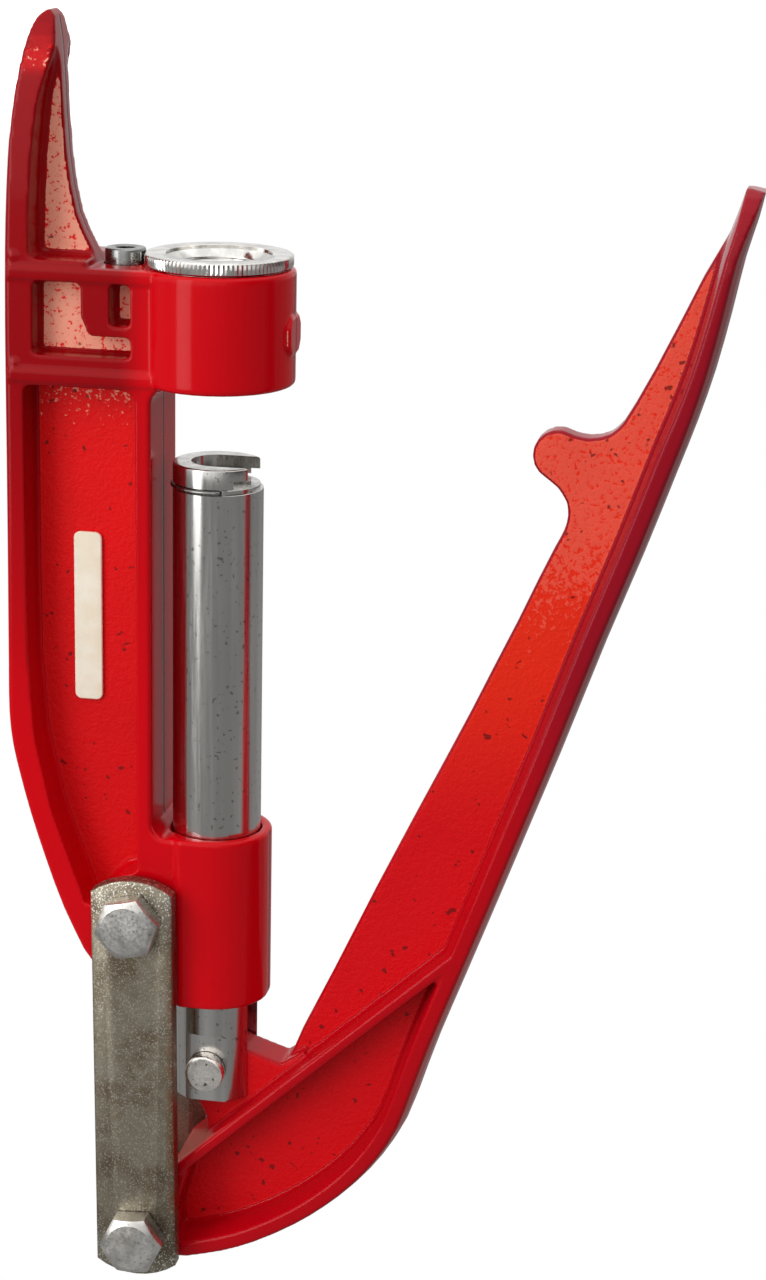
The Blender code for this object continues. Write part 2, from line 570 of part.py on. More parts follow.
inner_edge = curve([(123.5, 182.4), (122.2, 179.8), (119.6, 174.4), (115.0, 165.6), (110.3, 155.1),
                    (104.9, 143.4), (100.8, 135.2)], 1)
inner_edge += curve([(98.1, 130.3), (95.2, 127.5), (90.3, 126.2), (86.9, 126.7)], 2)
inner_edge += arc(HORN_X, HORN_Z, HORN_R, 84, 20, 9)
inner_edge += curve([(83.3, 113.9), (85.5, 110.6), (86.0, 107.1), (85.2, 103.6), (82.8, 98.5)], 2)
inner_edge += curve([(79.4, 90.9), (74.9, 80.4), (69.9, 69.4), (63.9, 56.0), (58.1, 43.6), (50.2, 26.9),
                     (41.3, 7.8), (30.9, -15.4), (23.4, -31.6)], 1)
web = inner_edge + [(20.8, -38.4), (18.0, -43.0)]
web += [on_rib(14.0, 1.2), on_rib(4.0, 1.2), on_rib(-6.0, 1.2), (B_X, B_Z)]
web += beside(path, -1.4)[1:-4][::-1]
web_levels = [(-WEB_Y, 0.5), (-WEB_Y + 0.5, 0.0), (WEB_Y - 0.5, 0.0), (WEB_Y, 0.5)]
add(lever, along_y("lever_web", web, web_levels))

rib = [on_rib(-9.5), on_rib(66.8), on_rib(65.2, LEVER_RIB_T), on_rib(-9.5, LEVER_RIB_T)]
add(lever, along_y("lever_rib", rounded([(*p, 1.0) for p in rib], 3), soft(-CAST_Y, CAST_Y, 0.7, 2)))
add(lever, turned("lever_lug", [
    (0, -CAST_Y), (LUG_R - 0.6, -CAST_Y), (LUG_R, -CAST_Y + 0.6), (LUG_R, CAST_Y - 0.6),
    (LUG_R - 0.6, CAST_Y), (0, CAST_Y)], B_X, B_Z, 36, along="y"))
# cheeks that join the lug to the rib
cheek = [(B_X + 2, B_Z + 6.2), (B_X + 7.0, B_Z - 1.0), on_rib(-5.5, LEVER_RIB_T - 0.4), on_rib(-5.5, 0.4),
         on_rib(-9.2, 0.4)]
add(lever, along_y("lever_cheek", cheek, soft(-CAST_Y + 0.4, CAST_Y - 0.4, 0.6, 2)))

tip_cut = [(-CAST_Y - 4, TIP_Z - 2.0), (-CAST_Y - 0.3, TIP_Z - 2.0)]
for k in range(-5, 6):
    a = math.radians(15 * k)
    tip_cut.append((CAST_Y * math.sin(a), TIP_Z + TIP_ROUND * math.cos(a) ** 0.8))
tip_cut += [(CAST_Y + 0.3, TIP_Z - 2.0), (CAST_Y + 4, TIP_Z - 2.0), (CAST_Y + 4, 194.0), (-CAST_Y - 4, 194.0)]
cut(lever, along_x("tip_round", tip_cut, [(100.0, 0), (140.0, 0)]))

tongue = arc(C_X, C_Z, EYE_R, 74, 13, 11)
tongue += [(-3.6, -53.4), (-1.9, -56.4), (-1.2, -58.4), on_rib(-1.2, 0.6), on_rib(24.0, 0.6)]
tongue += [(24.6, -36.6), (21.4, -38.9), (18.3, -41.0), (9.7, -38.2)]
add(lever, along_y("lever_tongue", tongue, soft(-TONGUE_Y, TONGUE_Y, 0.5, 2)))
cut(lever, rod_y("eye_bore", C_X, C_Z, PIN_R + 2 * GAP + BUSH_T, -TONGUE_Y - 2, TONGUE_Y + 2))
cut(lever, rod_y("lug_bore", B_X, B_Z, BOLT_R + 2 * GAP + SLEEVE_T, -CAST_Y - 2, CAST_Y + 2))

sleeve("tongue_bush", C_X, C_Z, PIN_R + GAP, PIN_R + GAP + BUSH_T, -TONGUE_Y, TONGUE_Y, 28, 0.2)
sleeve("lever_sleeve", B_X, B_Z, BOLT_R + GAP, BOLT_R + GAP + SLEEVE_T, -CAST_Y, CAST_Y)

# ---------------------------------------------------------------- links and their bolts
along = Vector((math.sin(LINK_TILT), -math.cos(LINK_TILT)))
across = Vector((-along.y, along.x))


def link_outline():
    half = math.asin(LINK_HALF / LINK_ARC)
    out = []
    for end, sign in ((Vector((A_X, A_Z)), -1), (Vector((B_X, B_Z)), 1)):
        middle = end + along * sign * (LINK_OVER - LINK_ARC)
        for k in range(9):
            a = half * (2 * k / 8 - 1)
            q = middle + (along * math.cos(a) * sign + across * math.sin(a) * sign) * LINK_ARC
            out.append((q.x, q.y))
    return out


for label, sign in (("near_link", -1), ("far_link", 1)):
    ys = (-LINK_IN - LINK_T, -LINK_IN) if sign < 0 else (LINK_IN, LINK_IN + LINK_T)
    link = along_y(label, link_outline(), soft(*ys, 0.5, 2))
    for x, z, hole in ((A_X, A_Z, "a"), (B_X, B_Z, "b")):
        cut(link, rod_y(f"{label}_hole_{hole}", x, z, BOLT_R + GAP, ys[0] - 1, ys[1] + 1))

face_y = LINK_IN + LINK_T + 0.25


def hex_head(name, x, z, shank_to, turn):
    """A hexagon head with a chamfered crown on the near side, and its shank."""
    crown = HEAD_AF / 2 * 0.97
    top = -face_y - HEAD_H
    head = along_y(name, hexagon(x, z, HEAD_AF, turn), [(top + 0.1, 0.0), (-face_y, 0.0)])
    dome = turned(name + "_crown", [
        (0, top), (crown - 1.0, top), (crown, top + 0.6), (crown + 1.7, top + 1.6),
        (crown + 1.7, -face_y + 1), (0, -face_y + 1)], x, z, 36, along="y")
    combine(head, dome, "INTERSECT")
    add(head, turned(name + "_shank", [
        (0, -face_y - 1), (BOLT_R, -face_y - 1), (BOLT_R, shank_to - 0.6), (BOLT_R - 0.6, shank_to),
        (0, shank_to)], x, z, 24, along="y"))
    return head


def hex_nut(name, x, z, turn):
    crown = HEAD_AF / 2 * 0.97
    y0, y1 = face_y, face_y + NUT_H
    nut = along_y(name, hexagon(x, z, HEAD_AF, turn), [(y0, 0.0), (y1 - 0.1, 0.0)])
    dome = turned(name + "_crown", [
        (0, y0 - 1), (crown + 1.7, y0 - 1), (crown + 1.7, y1 - 1.6), (crown, y1 - 0.6),
        (crown - 1.0, y1), (0, y1)], x, z, 36, along="y")
    combine(nut, dome, "INTERSECT")
    cut(nut, rod_y(name + "_bore", x, z, BOLT_R + GAP, y0 - 2, y1 + 2, 24))
    return nut


end_y = face_y + NUT_H + 1.6
washer_y = CAST_Y + (LINK_IN - CAST_Y - WASHER_T) / 2
hex_head("upper_bolt", A_X, A_Z, end_y, math.radians(12))
hex_nut("upper_nut", A_X, A_Z, math.radians(20))
for label, x, z in (("upper", A_X, A_Z), ("lower", B_X, B_Z)):
    hole = BOLT_R + GAP
    sleeve(f"{label}_washer_near", x, z, hole, WASHER_R, -washer_y - WASHER_T, -washer_y, 28, 0.15)
    sleeve(f"{label}_washer_far", x, z, hole, WASHER_R, washer_y, washer_y + WASHER_T, 28, 0.15)
# the lower bolt stops at the washers, so that the lever's swing stays clear of it
hex_head("lower_bolt", B_X, B_Z, -washer_y, math.radians(4))
hex_nut("lower_nut", B_X, B_Z, math.radians(35))
turned("lower_bolt_end", [
    (0, washer_y), (BOLT_R, washer_y), (BOLT_R, end_y - 0.6), (BOLT_R - 0.6, end_y), (0, end_y)],
    B_X, B_Z, 24, along="y")

# ---------------------------------------------------------------- looks and joints' origins
PAINT = ((0.50, 0.012, 0.016), 0.0, 0.24)
BRIGHT = ((0.62, 0.61, 0.60), 1.0, 0.22)
DARK = ((0.22, 0.215, 0.21), 1.0, 0.32)
ZINC = ((0.33, 0.29, 0.23), 1.0, 0.46)
CREAM = ((0.83, 0.78, 0.66), 0.0, 0.45)
LOOKS = {
    "frame_casting": PAINT, "lever_casting": PAINT, "web_badge": CREAM,
    "breech_bushing": BRIGHT, "ram": BRIGHT, "ram_pin": BRIGHT,
    "lock_pin": DARK, "lock_pin_spring": DARK, "shell_holder_clip": DARK, "ram_pin_clip": DARK,
}
A_AT, B_AT, C_AT = Vector((A_X, 0, A_Z)), Vector((B_X, 0, B_Z)), Vector((C_X, 0, C_Z))
LOCK_AT, DIE_AT = Vector((LOCK_X, 0, DIE_TOP)), Vector((0, 0, DIE_TOP))
GROUPS = {
    "frame_axis": (ORIGIN, ["frame_casting", "web_badge", "lock_pin_spring"]),
    "bushing_axis": (DIE_AT, ["breech_bushing"]),
    "lock_pin_axis": (LOCK_AT, ["lock_pin"]),
    "ram_axis": (C_AT, ["ram", "shell_holder_clip", "ram_pin", "ram_pin_clip"]),
    "lever_axis": (C_AT, ["lever_casting", "tongue_bush", "lever_sleeve"]),
    "links_axis": (A_AT, [
        "near_link", "far_link", "upper_bolt", "upper_nut", "upper_washer_near", "upper_washer_far",
        "lower_bolt", "lower_bolt_end", "lower_nut", "lower_washer_near", "lower_washer_far"]),
}
for empty_name, (at, members) in GROUPS.items():
    empty = bpy.data.objects.new(empty_name, None)
    empty.empty_display_size = 0.01
    empty.location = (at - ORIGIN) * MM
    bpy.context.scene.collection.objects.link(empty)
    for name in members:
        obj = bpy.data.objects[name]
        colour, metallic, roughness = LOOKS.get(name, ZINC)
        look = bpy.data.materials.new(name)
        look.use_nodes = True
        shader = look.node_tree.nodes["Principled BSDF"]
        shader.inputs["Base Color"].default_value = (*colour, 1.0)
        shader.inputs["Metallic"].default_value = metallic
        shader.inputs["Roughness"].default_value = roughness
        obj.data.materials.append(look)
        obj.data.shade_smooth()
        obj.data.set_sharp_from_angle(angle=math.radians(32))
        for v in obj.data.vertices:
            v.co -= empty.location
        obj.parent = empty
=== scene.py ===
"""Looks for the hand-held lever press: paint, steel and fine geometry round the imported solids.

Lengths are metres in the part's own frame: +Z along the ram's stroke, +X from the spine to
the lever, and -Y is the side with the bolt heads.
"""

import math

import bmesh
import bpy
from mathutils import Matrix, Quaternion, Vector


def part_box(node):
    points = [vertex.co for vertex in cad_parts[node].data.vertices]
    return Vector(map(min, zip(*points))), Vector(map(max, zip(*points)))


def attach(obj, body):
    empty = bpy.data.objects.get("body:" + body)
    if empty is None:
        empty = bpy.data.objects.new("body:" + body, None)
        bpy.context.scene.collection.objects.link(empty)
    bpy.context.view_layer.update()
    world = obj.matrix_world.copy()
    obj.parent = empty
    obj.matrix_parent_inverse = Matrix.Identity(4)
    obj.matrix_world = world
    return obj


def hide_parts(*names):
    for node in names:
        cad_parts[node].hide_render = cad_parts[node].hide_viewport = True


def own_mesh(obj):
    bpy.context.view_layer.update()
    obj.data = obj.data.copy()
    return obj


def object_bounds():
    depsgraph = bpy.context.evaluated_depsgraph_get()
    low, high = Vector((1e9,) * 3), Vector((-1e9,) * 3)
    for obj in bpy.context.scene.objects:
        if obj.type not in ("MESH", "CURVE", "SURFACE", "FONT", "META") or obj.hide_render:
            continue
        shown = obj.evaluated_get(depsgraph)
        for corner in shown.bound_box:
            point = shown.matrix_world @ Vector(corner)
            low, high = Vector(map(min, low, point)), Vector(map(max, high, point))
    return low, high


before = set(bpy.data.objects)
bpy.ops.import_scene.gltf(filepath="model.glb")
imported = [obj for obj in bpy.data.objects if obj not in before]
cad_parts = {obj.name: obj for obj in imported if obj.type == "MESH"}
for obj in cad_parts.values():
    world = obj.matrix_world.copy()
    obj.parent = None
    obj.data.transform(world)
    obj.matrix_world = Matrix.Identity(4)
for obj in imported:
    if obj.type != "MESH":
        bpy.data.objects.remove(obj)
cad_low, cad_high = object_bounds()

MM = 0.001

# places read from the frame
ram_low, ram_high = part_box("ram")
rim_low, rim_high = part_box("breech_bushing")
clip_low, clip_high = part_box("shell_holder_clip")
pin_low, pin_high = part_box("lock_pin")
AXIS_X = (rim_low.x + rim_high.x) / 2
RAM_R = (ram_high.y - ram_low.y) / 2
FLANGE_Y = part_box("lever_casting")[1].y  # both castings' flanges end at the same depth

# camera and light
CAMERA_AT = Vector((0.20955, -0.64892, 0.18779))
CAMERA_TO = Vector((0.09177, 0.0, -0.00763))
CAMERA_ROLL = math.radians(1.252)
CAMERA_LENS = 79.12
BACKDROP = 1.5  # brightness of the brightest surroundings
# the room's brightness round the object: azimuth in degrees from the front, share of BACKDROP
ROOM = [(-180, 0.60), (-138, 0.60), (-84, 0.62), (-52, 0.56), (-32, 0.86), (-12, 0.92), (6, 0.80), (24, 0.40),
        (42, 0.14), (62, 0.05), (82, 0.08), (107, 0.36), (138, 0.56), (180, 0.60)]
CEILING = 0.9
FLOOR_BOUNCE = 0.25
FLOOR_DROP = 400 * MM  # the floor lies below the lever's swing

CAST_VOXEL = 0.6 * MM
CAST_PASSES = 2


# ---------------------------------------------------------------- meshes
def from_bmesh(name, bm, smooth_below=40):
    mesh = bpy.data.meshes.new(name)
    bmesh.ops.recalc_face_normals(bm, faces=bm.faces)
    if bm.calc_volume(signed=True) < 0:
        bmesh.ops.reverse_faces(bm, faces=bm.faces)
    bm.to_mesh(mesh)
    bm.free()
    mesh.shade_smooth()
    mesh.set_sharp_from_angle(angle=math.radians(smooth_below))
    obj = bpy.data.objects.new(name, mesh)
    bpy.context.scene.collection.objects.link(obj)
    return obj


def welded(node):
    """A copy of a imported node's mesh with its shared corners joined."""
    bm = bmesh.new()
    bm.from_mesh(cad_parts[node].data)
    bmesh.ops.remove_doubles(bm, verts=bm.verts, dist=0.002 * MM)
    return bm


def settle(obj):
    """Turn an object's modifiers into its mesh."""
    graph = bpy.context.evaluated_depsgraph_get()
    mesh = bpy.data.meshes.new_from_object(obj.evaluated_get(graph))
    obj.modifiers.clear()
    obj.data = mesh


def soften(obj, voxel, passes, keep=1.0):
    """One even skin over everything in obj, with edges and corners rounded as a casting's are."""
    target = obj.copy()
    target.data = obj.data.copy()
    target.name = "shape_guide"
    bpy.context.scene.collection.objects.link(target)
    m = obj.modifiers.new("skin", "REMESH")
    m.mode, m.voxel_size, m.adaptivity = "VOXEL", voxel, 0.0
    m = obj.modifiers.new("seat", "SHRINKWRAP")
    m.target, m.wrap_method = target, "NEAREST_SURFACEPOINT"
    m = obj.modifiers.new("soften", "SMOOTH")
    m.factor, m.iterations = 0.5, passes
    if keep < 1:
        m = obj.modifiers.new("thin", "DECIMATE")
        m.ratio = keep
    settle(obj)
    obj.data.shade_smooth()
    bpy.data.objects.remove(target)


def refined(node, voxel, passes, keep=1.0, extras=()):
    """A smooth-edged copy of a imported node, joined with the closed bodies in extras."""
    bm = welded(node)
    for extra in extras:
        bm.from_mesh(extra.data)
        bpy.data.objects.remove(extra)
    obj = from_bmesh(node + "_skin", bm)
    soften(obj, voxel, passes, keep)
    return obj


def lathe(name, rows, at, along="z", n=96, ring_shape=None, smooth_below=40):
    """A turned body from (radius, height) rows. ring_shape(row, angle) may change a radius."""
    bm = bmesh.new()
    rings = []
    for i, (r, h) in enumerate(rows):
        ring = []
        for k in range(n if r > 0 else 1):
            a = math.tau * k / n
            rr = ring_shape(i, a, r) if ring_shape and r > 0 else r
            u, v = rr * math.cos(a), rr * math.sin(a)
            p = (at[0] + u, at[1] + v, h) if along == "z" else (at[0] + u, h, at[2] + v)
            ring.append(bm.verts.new(p))
        rings.append(ring)
    closed = rows[0][0] > 0
    for low, high in zip(rings, rings[1:] + (rings[:1] if closed else [])):
        for k in range(n):
            j = (k + 1) % n
            if len(low) == 1:
                bm.faces.new((low[0], high[j], high[k]))
            elif len(high) == 1:
                bm.faces.new((low[k], low[j], high[0]))
            else:
                bm.faces.new((low[k], low[j], high[j], high[k]))
    return from_bmesh(name, bm, smooth_below)


def rounded_step(r, h, c, inward=1, up=1, steps=4):
    """Rows round a convex edge of radius c at (r, h)."""
    out = []
    for k in range(steps + 1):
        a = math.pi / 2 * k / steps
        out.append((r - inward * c * (1 - math.cos(a)), h - up * c * (1 - math.sin(a))))
    return out


def prism(name, outline, low, high, along="z"):
    """A straight body over an outline, from low to high."""
    bm = bmesh.new()
    put = {
        "x": lambda p, h: (h, p[0], p[1]),
        "y": lambda p, h: (p[0], h, p[1]),
        "z": lambda p, h: (p[0], p[1], h),
    }[along]
    bottom, top = ([bm.verts.new(put(p, h)) for p in outline] for h in (low, high))
    for i in range(len(outline)):
        j = (i + 1) % len(outline)
        bm.faces.new((bottom[i], bottom[j], top[j], top[i]))
    bm.faces.new(bottom)
    bm.faces.new(top)
    return from_bmesh(name, bm)


def carve(target, cutters):
    for cutter in cutters:
        m = target.modifiers.new(cutter.name, "BOOLEAN")
        m.operation, m.solver, m.object = "DIFFERENCE", "EXACT", cutter
    settle(target)
    for cutter in cutters:
        bpy.data.objects.remove(cutter)


def dome(x, y, z, r, flat=1.0):
    """A closed ball, squashed along Y."""
    bm = bmesh.new()
    bmesh.ops.create_uvsphere(bm, u_segments=32, v_segments=16, radius=r)
    for v in bm.verts:
        v.co = Vector((x + v.co.x, y + v.co.y * flat, z + v.co.z))
    return from_bmesh("dome", bm)


# ---------------------------------------------------------------- materials
def put(tree, kind, **inputs):
    """A shader node whose inputs are numbers, colours or other nodes' outputs."""
    made = tree.nodes.new(kind)
    for key, value in inputs.items():
        key = int(key[1:]) if key[0] == "i" and key[1:].isdigit() else key.replace("_", " ")
        socket = made.inputs[key]
        if isinstance(value, bpy.types.NodeSocket):
            tree.links.new(value, socket)
        else:
            socket.default_value = value
    return made


def maths(tree, operation, a, b=0.0, clamp=False):
    made = put(tree, "ShaderNodeMath", i0=a, i1=b)
    made.operation, made.use_clamp = operation, clamp
    return made.outputs[0]


def between(tree, value, low, high, out_low=0.0, out_high=1.0):
    made = put(tree, "ShaderNodeMapRange", Value=value)
    made.interpolation_type = "SMOOTHSTEP"
    for key, number in (("From Min", low), ("From Max", high), ("To Min", out_low), ("To Max", out_high)):
        made.inputs[key].default_value = number
    return made.outputs[0]


def blend(tree, factor, a, b):
    """A colour mixed from a to b."""
    made = tree.nodes.new("ShaderNodeMix")
    made.data_type = "RGBA"
    for index, value in ((0, factor), (6, a), (7, b)):
        if isinstance(value, bpy.types.NodeSocket):
            tree.links.new(value, made.inputs[index])
        else:
            made.inputs[index].default_value = value if index == 0 else (*value, 1.0)
    return made.outputs[2]


def noise(tree, where, scale, detail=2.0, rough=0.5, stretch=(1, 1, 1)):
    moved = put(tree, "ShaderNodeMapping", Vector=where)
    moved.inputs["Scale"].default_value = stretch
    made = put(tree, "ShaderNodeTexNoise", Vector=moved.outputs[0], Scale=scale, Detail=detail,
               Roughness=rough)
    return made.outputs[0]


def bump(tree, height, distance, strength=1.0):
    made = put(tree, "ShaderNodeBump", Height=height)
    made.inputs["Distance"].default_value = distance
    made.inputs["Strength"].default_value = strength
    return made.outputs[0]


def start_look(name, **shader):
    look = bpy.data.materials.new(name)
    look.use_nodes = True
    tree = look.node_tree
    principled = tree.nodes["Principled BSDF"]
    for key, value in shader.items():
        principled.inputs[key.replace("_", " ")].default_value = value
    where = tree.nodes.new("ShaderNodeTexCoord")
    return look, tree, principled, where


def join(tree, principled, **sources):
    for key, value in sources.items():
        tree.links.new(value, principled.inputs[key.replace("_", " ")])


def paint(name, flanges, webs, span, highlight_span, highlight_strength, bright_from=1.0, seam=False):
    """Gloss red over a sand casting: smooth flanges, and pitted webs whose sand grain carries a painted
    salmon highlight.

    flanges and webs each hold two reds, low and high on the casting, which blend over span: a lit and a
    shaded copy of one paint, so painted light and shade. The painted highlight on the sand grain grows over
    a span of heights and to a strength given by the next two arguments. Right of bright_from the low reds
    hold all the way up, painted light round the ram.
    """
    look, tree, shader, where = start_look(name, IOR=1.5, Specular_IOR_Level=0.15)
    at = where.outputs["Object"]
    xyz = put(tree, "ShaderNodeSeparateXYZ", Vector=at)
    facing = put(tree, "ShaderNodeSeparateXYZ", Vector=where.outputs["Normal"])
    depth = maths(tree, "ABSOLUTE", xyz.outputs[1])
    recessed = between(tree, depth, 8.0 * MM, 9.5 * MM, 1.0, 0.0)
    side = between(tree, maths(tree, "ABSOLUTE", facing.outputs[1]), 0.90, 0.985)
    web = maths(tree, "MULTIPLY", recessed, side)
    grain = noise(tree, at, 1500, 2.0, 0.6)
    coarse = noise(tree, at, 620, 2.0, 0.6)
    pores = noise(tree, at, 430, 1.0, 0.5)
    cloud = noise(tree, at, 26, 3.0, 0.6)
    wave = noise(tree, at, 130, 2.0, 0.5)
    # height of the skin: faint orange peel everywhere, sand grain in the webs
    mixed = maths(tree, "ADD", maths(tree, "MULTIPLY", grain, 0.5), maths(tree, "MULTIPLY", coarse, 0.8))
    sandy = maths(tree, "MULTIPLY", mixed, between(tree, web, 0.0, 1.0, 0.03, 1.0))
    height = maths(tree, "ADD", sandy, maths(tree, "MULTIPLY", wave, 0.12))
    # colour: painted light and shade, deep red flanges that lighten downwards and webs painted brighter, each
    # a lit and a shaded red blended by height
    up = between(tree, xyz.outputs[2], *span)
    # painted light: right of bright_from, round the ram, the low reds hold all the way up
    near_ram = between(tree, xyz.outputs[0], bright_from, bright_from + 8 * MM, 1.0, 0.0)
    up = maths(tree, "MULTIPLY", up, near_ram)
    red = blend(tree, web, blend(tree, up, *flanges), blend(tree, up, *webs))
    # painted highlight: salmon grains in the webs, more of them higher up
    highlight_amount = maths(tree, "MULTIPLY", web, between(tree, xyz.outputs[2], *highlight_span))
    speck = maths(tree, "ADD", maths(tree, "MULTIPLY", coarse, 0.6), maths(tree, "MULTIPLY", grain, 0.4))
    level = maths(tree, "SUBTRACT", speck, between(tree, highlight_amount, 0.2, 1.0, 0.62, 0.38))
    grains = maths(tree, "MULTIPLY", between(tree, level, 0.0, 0.09), between(tree, highlight_amount, 0.02, 0.3))
    # the salmon colour below is a painted highlight on the sand grain
    colour = blend(tree, maths(tree, "MULTIPLY", grains, highlight_strength), red, (0.97, 0.42, 0.29))
    pits = maths(tree, "MULTIPLY", between(tree, pores, 0.24, 0.30, 1.0, 0.0), web)
    colour = blend(tree, maths(tree, "MULTIPLY", pits, 0.8), colour, (0.12, 0.004, 0.004))
    colour = blend(tree, between(tree, cloud, 0.35, 0.75, 0.0, 0.12), colour, (0.30, 0.002, 0.004))
    if seam:  # the mould's parting line down the middle of the faces towards the ram
        line = maths(tree, "MULTIPLY", between(tree, depth, 0.25 * MM, 0.75 * MM, 1.0, 0.0),
                     between(tree, maths(tree, "ABSOLUTE", facing.outputs[0]), 0.85, 0.97))
        colour = blend(tree, maths(tree, "MULTIPLY", line, 0.85), colour, (0.05, 0.004, 0.004))
        height = maths(tree, "SUBTRACT", height, maths(tree, "MULTIPLY", line, 0.5))
    rough = between(tree, web, 0.0, 1.0, 0.16, 0.46)
    join(tree, shader, Base_Color=colour, Roughness=rough, Normal=bump(tree, height, 0.22 * MM, 1.0))
    return look


def steel(name, tint, rough, streak, speck=0.0, brown=0.0, along=(1, 1, 0.03)):
    """Ground steel: fine scratches along one direction, a few specks, and a brown film where handled."""
    look, tree, shader, where = start_look(name, Metallic=1.0)
    at = where.outputs["Object"]
    lines = noise(tree, at, 1400, 3.0, 0.65, along)
    broad = noise(tree, at, 260, 2.0, 0.5, along)
    spots = noise(tree, at, 900, 1.0, 0.5)
    cloud = noise(tree, at, 90, 4.0, 0.65)
    dark = tuple(c * 0.72 for c in tint)
    colour = blend(tree, between(tree, broad, 0.35, 0.7), dark, tint)
    colour = blend(tree, between(tree, spots, 0.66, 0.72, 0.0, speck), colour, (0.09, 0.08, 0.07))
    colour = blend(tree, between(tree, cloud, 0.48, 0.72, 0.0, brown), colour, (0.20, 0.13, 0.07))
    shine = between(tree, lines, 0.3, 0.75, rough * 0.75, rough * 1.5)
    height = maths(tree, "MULTIPLY", lines, streak)
    join(tree, shader, Base_Color=colour, Roughness=shine, Normal=bump(tree, height, 0.03 * MM, 0.6))
    return look


def link_plate(name):
    """Stamped plate with worn zinc: brown-grey film, bright grains, rust along one edge."""
    look, tree, shader, where = start_look(name, Metallic=1.0)
    at = where.outputs["Object"]
    xyz = put(tree, "ShaderNodeSeparateXYZ", Vector=at)
    low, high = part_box("near_link")
    cloud = noise(tree, at, 70, 5.0, 0.62)
    patch = noise(tree, at, 28, 3.0, 0.55)
    grain = noise(tree, at, 1700, 2.0, 0.6)
    flecks = noise(tree, at, 2300, 1.0, 0.5)
    base = blend(tree, between(tree, cloud, 0.38, 0.62), (0.17, 0.13, 0.085), (0.34, 0.30, 0.225))
    base = blend(tree, between(tree, patch, 0.5, 0.75, 0.0, 0.45), base, (0.42, 0.41, 0.36))
    edge = between(tree, xyz.outputs[0], high.x - 3.2 * MM, high.x - 0.4 * MM)
    ends = maths(tree, "ABSOLUTE", maths(tree, "SUBTRACT", xyz.outputs[2], (low.z + high.z) / 2))
    middle = between(tree, ends, 34 * MM, 48 * MM, 1.0, 0.0)
    rust = maths(tree, "MULTIPLY", maths(tree, "MULTIPLY", edge, middle), between(tree, cloud, 0.4, 0.62))
    base = blend(tree, maths(tree, "MULTIPLY", rust, 0.9), base, (0.26, 0.080, 0.022))
    ended = between(tree, ends, 36 * MM, 50 * MM, 0.35, 1.0)
    bright = maths(tree, "MULTIPLY", between(tree, flecks, 0.58, 0.64), ended)
    base = blend(tree, maths(tree, "MULTIPLY", bright, 0.85), base, (0.86, 0.84, 0.78))
    pits = maths(tree, "MULTIPLY", between(tree, grain, 0.30, 0.40, 1.0, 0.0), ended)
    base = blend(tree, maths(tree, "MULTIPLY", pits, 0.7), base, (0.06, 0.055, 0.045))
    shine = between(tree, cloud, 0.35, 0.7, 0.50, 0.33)
    height = maths(tree, "ADD", maths(tree, "MULTIPLY", grain, 0.6), maths(tree, "MULTIPLY", cloud, 0.5))
    join(tree, shader, Base_Color=base, Roughness=shine, Normal=bump(tree, height, 0.08 * MM, 0.7))
    return look


def enamel(name):
    look, tree, shader, where = start_look(name, IOR=1.5)
    at = where.outputs["Object"]
    cloud = noise(tree, at, 160, 3.0, 0.6)
    colour = blend(tree, between(tree, cloud, 0.35, 0.7), (0.88, 0.80, 0.62), (0.93, 0.88, 0.74))
    height = noise(tree, at, 700, 2.0, 0.5)
    join(tree, shader, Base_Color=colour, Roughness=between(tree, cloud, 0.3, 0.7, 0.34, 0.5),
         Normal=bump(tree, height, 0.05 * MM, 0.5))
    return look


LOOKS = {
    # in each pair of reds below, low then high, one is a lit and one a shaded copy of the same paint: painted
    # light and shade. The salmon grain strength sets a painted highlight.
    "frame_paint": paint(
        "frame_paint", ((0.62, 0.001, 0.006), (0.30, 0.001, 0.004)),
        ((0.66, 0.0005, 0.003), (0.84, 0.001, 0.002)),
        (-45 * MM, 60 * MM), (30 * MM, 68 * MM), 0.92, 28 * MM, seam=True),
    "lever_paint": paint(
        "lever_paint", ((0.46, 0.001, 0.006), (0.30, 0.004, 0.014)),
        ((0.64, 0.001, 0.005), (0.80, 0.022, 0.004)),
        (-60 * MM, 0), (-40 * MM, 40 * MM), 0.16),
    "ram_steel": steel("ram_steel", (0.70, 0.68, 0.65), 0.17, 0.5, speck=0.55),
    "nickel": steel("nickel", (0.84, 0.82, 0.78), 0.13, 0.25, speck=0.1, along=(1, 1, 1)),
    "pin_steel": steel("pin_steel", (0.95, 0.90, 0.84), 0.25, 0.5, speck=0.9, along=(1, 1, 1)),
    "dark_steel": steel("dark_steel", (0.30, 0.30, 0.29), 0.22, 0.3, speck=0.2, along=(1, 1, 1)),
    "bolt_zinc": steel("bolt_zinc", (0.74, 0.72, 0.68), 0.34, 0.6, speck=0.4, brown=0.45, along=(1, 1, 1)),
    "link_zinc": link_plate("link_zinc"),
    "badge_enamel": enamel("badge_enamel"),
}


def place(obj, body, look, slot, *nodes):
    obj.data.materials.clear()
    obj.data.materials.append(LOOKS[look])
    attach(obj, body)
    if nodes:
        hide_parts(*nodes)


# ---------------------------------------------------------------- castings
def frame_skin():
    marks = []
    for sign in (-1, 1):
        for z in (84.1 * MM, 58.5 * MM):  # ejector marks just above each cross rib
            marks.append(dome(3.1 * MM, sign * (FLANGE_Y - 0.2 * MM), z, 1.1 * MM, 0.6))
    skin = refined("frame_casting", CAST_VOXEL, CAST_PASSES, 0.42, marks)
    place(skin, "frame", "frame_paint", "red_paint", "frame_casting")


def lever_skin():
    skin = refined("lever_casting", CAST_VOXEL, CAST_PASSES, 0.42)
    place(skin, "lever", "lever_paint", "red_paint", "lever_casting")


def badge():
    place(broken("web_badge", 0.15 * MM), "frame", "badge_enamel", "badge_cream", "web_badge")


